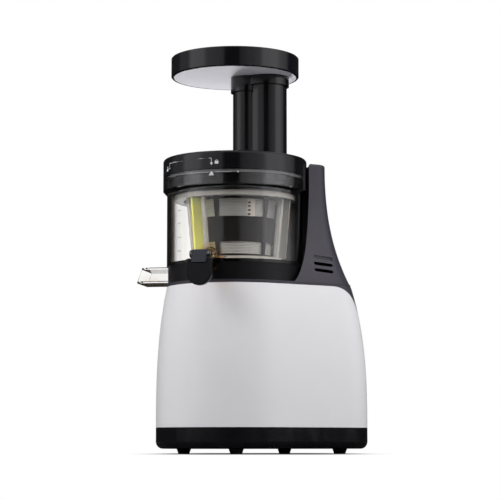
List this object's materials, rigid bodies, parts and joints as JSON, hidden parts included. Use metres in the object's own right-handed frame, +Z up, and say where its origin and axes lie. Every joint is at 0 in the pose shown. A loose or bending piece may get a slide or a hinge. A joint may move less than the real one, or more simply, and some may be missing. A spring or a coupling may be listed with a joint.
{
  "type": "cold press juicer",
  "caption": "Vertical slow juicer: motor base with rear column, lift-off clear bowl with strainer, screw and brush, twist lid with feed chute and tray.",
  "frame": {"origin": "centre of the overall bounding box in plan, at the underside of the feet", "axes": "+Z up, -Y towards the front of the machine, where the pulp duct (left) and the juice spout (right) point"},
  "size_m": [0.1595, 0.2089, 0.395],
  "materials": {
    "white_gloss": "smooth glossy white moulding",
    "black_gloss": "polished black plastic",
    "black_satin": "satin black plastic",
    "slate_satin": "satin near-black plastic with a soft sheen",
    "grey_satin": "satin dark grey plastic",
    "black_rubber": "matt black rubber",
    "steel": "bare steel",
    "motor_steel": "grey painted motor steel",
    "bronze": "sintered bronze",
    "grey_housing": "glass-filled grey plastic",
    "board_green": "circuit board laminate",
    "component_black": "moulded components",
    "nylon": "natural white nylon",
    "smoke_clear": "clear smoke-tinted plastic",
    "grey_silicone": "grey silicone",
    "strainer_black": "dark heat-resistant plastic",
    "steel_mesh": "fine perforated steel",
    "screw_black": "hard dark plastic",
    "frame_grey": "pale grey translucent plastic",
    "green_silicone": "yellow-green silicone",
    "pale_plastic": "pale grey smooth plastic"
  },
  "bodies": {
    "base": {"base_pan": "black_gloss", "rubber_feet": "black_rubber", "base_screws": "steel", "body_shell": "white_gloss", "top_housing": "slate_satin", "rear_column": "slate_satin", "column_left_wing": "slate_satin", "column_right_wing": "slate_satin", "seat_ring": "black_satin", "deck_seal": "black_rubber", "motor_can": "motor_steel", "motor_end_cap": "motor_steel", "motor_bushes": "bronze", "gear_base": "grey_housing", "gear_cover": "grey_housing", "cover_screws": "steel", "shaft_bearings": "bronze", "gear_axle": "steel", "circuit_board": "board_green", "board_parts": "component_black", "switch_frame": "black_satin", "rocker_pin": "steel", "cord_inlet": "black_rubber"},
    "rotor": {"rotor_core": "motor_steel", "motor_shaft": "steel", "cooling_fan": "black_satin", "motor_pinion": "steel"},
    "compound": {"compound_gear": "nylon"},
    "output": {"output_gear": "nylon", "drive_shaft": "steel"},
    "rocker": {"power_rocker": "black_gloss"},
    "bowl": {"juice_bowl": "smoke_clear", "bowl_spigot": "smoke_clear", "pulp_duct": "smoke_clear", "juice_spout": "smoke_clear", "floor_seal": "grey_silicone", "pulp_plug": "grey_silicone", "idler_pin": "steel", "cap_pin": "steel", "strainer_frame": "strainer_black", "strainer_mesh": "steel_mesh"},
    "cap": {"juice_cap": "black_satin", "cap_lever": "grey_satin", "cap_stopper": "grey_silicone"},
    "screw": {"squeezing_screw": "screw_black", "screw_socket": "steel"},
    "idler": {"brush_idler": "nylon"},
    "brush": {"brush_frame": "frame_grey", "brush_blades": "green_silicone"},
    "lid": {"lid": "black_gloss", "lid_funnel": "black_gloss", "feed_chute": "black_gloss", "lid_bush": "nylon", "lid_seal": "grey_silicone"},
    "tray": {"feed_tray": "black_gloss", "tray_collar": "black_gloss", "tray_underside": "pale_plastic"}
  },
  "joints": [
    {"name": "bowl_lift", "type": "slide", "parent": "base", "child": "bowl", "axis": [0, 0, 1], "range_m": [0, 0.07]},
    {"name": "lid_twist", "type": "hinge", "parent": "bowl", "child": "lid", "pos_m": [0.00116, -0.01907, 0.2735], "axis": [0, 0, 1], "range_deg": [0, 45]},
    {"name": "tray_lift", "type": "slide", "parent": "lid", "child": "tray", "axis": [0, 0, 1], "range_m": [0, 0.04]},
    {"name": "cap_hinge", "type": "hinge", "parent": "bowl", "child": "cap", "pos_m": [0.05842, -0.09236, 0.189], "axis": [-0.788, -0.6157, 0], "range_deg": [0, 95]},
    {"name": "motor_spin", "type": "hinge", "parent": "base", "child": "rotor", "pos_m": [0.00116, 0.05893, 0.106], "axis": [0, 0, 1], "continuous": true},
    {"name": "compound_spin", "type": "hinge", "parent": "base", "child": "compound", "pos_m": [0.00116, 0.02893, 0.109], "axis": [0, 0, 1], "continuous": true},
    {"name": "output_spin", "type": "hinge", "parent": "base", "child": "output", "pos_m": [0.00116, -0.01907, 0.109], "axis": [0, 0, 1], "continuous": true},
    {"name": "screw_spin", "type": "hinge", "parent": "bowl", "child": "screw", "pos_m": [0.00116, -0.01907, 0.187], "axis": [0, 0, 1], "continuous": true},
    {"name": "idler_spin", "type": "hinge", "parent": "bowl", "child": "idler", "pos_m": [0.0199, 0.00174, 0.187], "axis": [0, 0, 1], "continuous": true},
    {"name": "brush_spin", "type": "hinge", "parent": "bowl", "child": "brush", "pos_m": [0.00116, -0.01907, 0.187], "axis": [0, 0, 1], "continuous": true},
    {"name": "rocker_tilt", "type": "hinge", "parent": "base", "child": "rocker", "pos_m": [-0.07349, 0.02593, 0.075], "axis": [0, 1, 0], "range_deg": [-9, 9]}
  ],
  "couplings": [
    {"joint": "compound_spin", "follows": "motor_spin", "ratio": -0.25},
    {"joint": "output_spin", "follows": "motor_spin", "ratio": 0.057692},
    {"joint": "screw_spin", "follows": "motor_spin", "ratio": 0.057692},
    {"joint": "idler_spin", "follows": "motor_spin", "ratio": -0.057692},
    {"joint": "brush_spin", "follows": "motor_spin", "ratio": -0.019231}
  ]
}
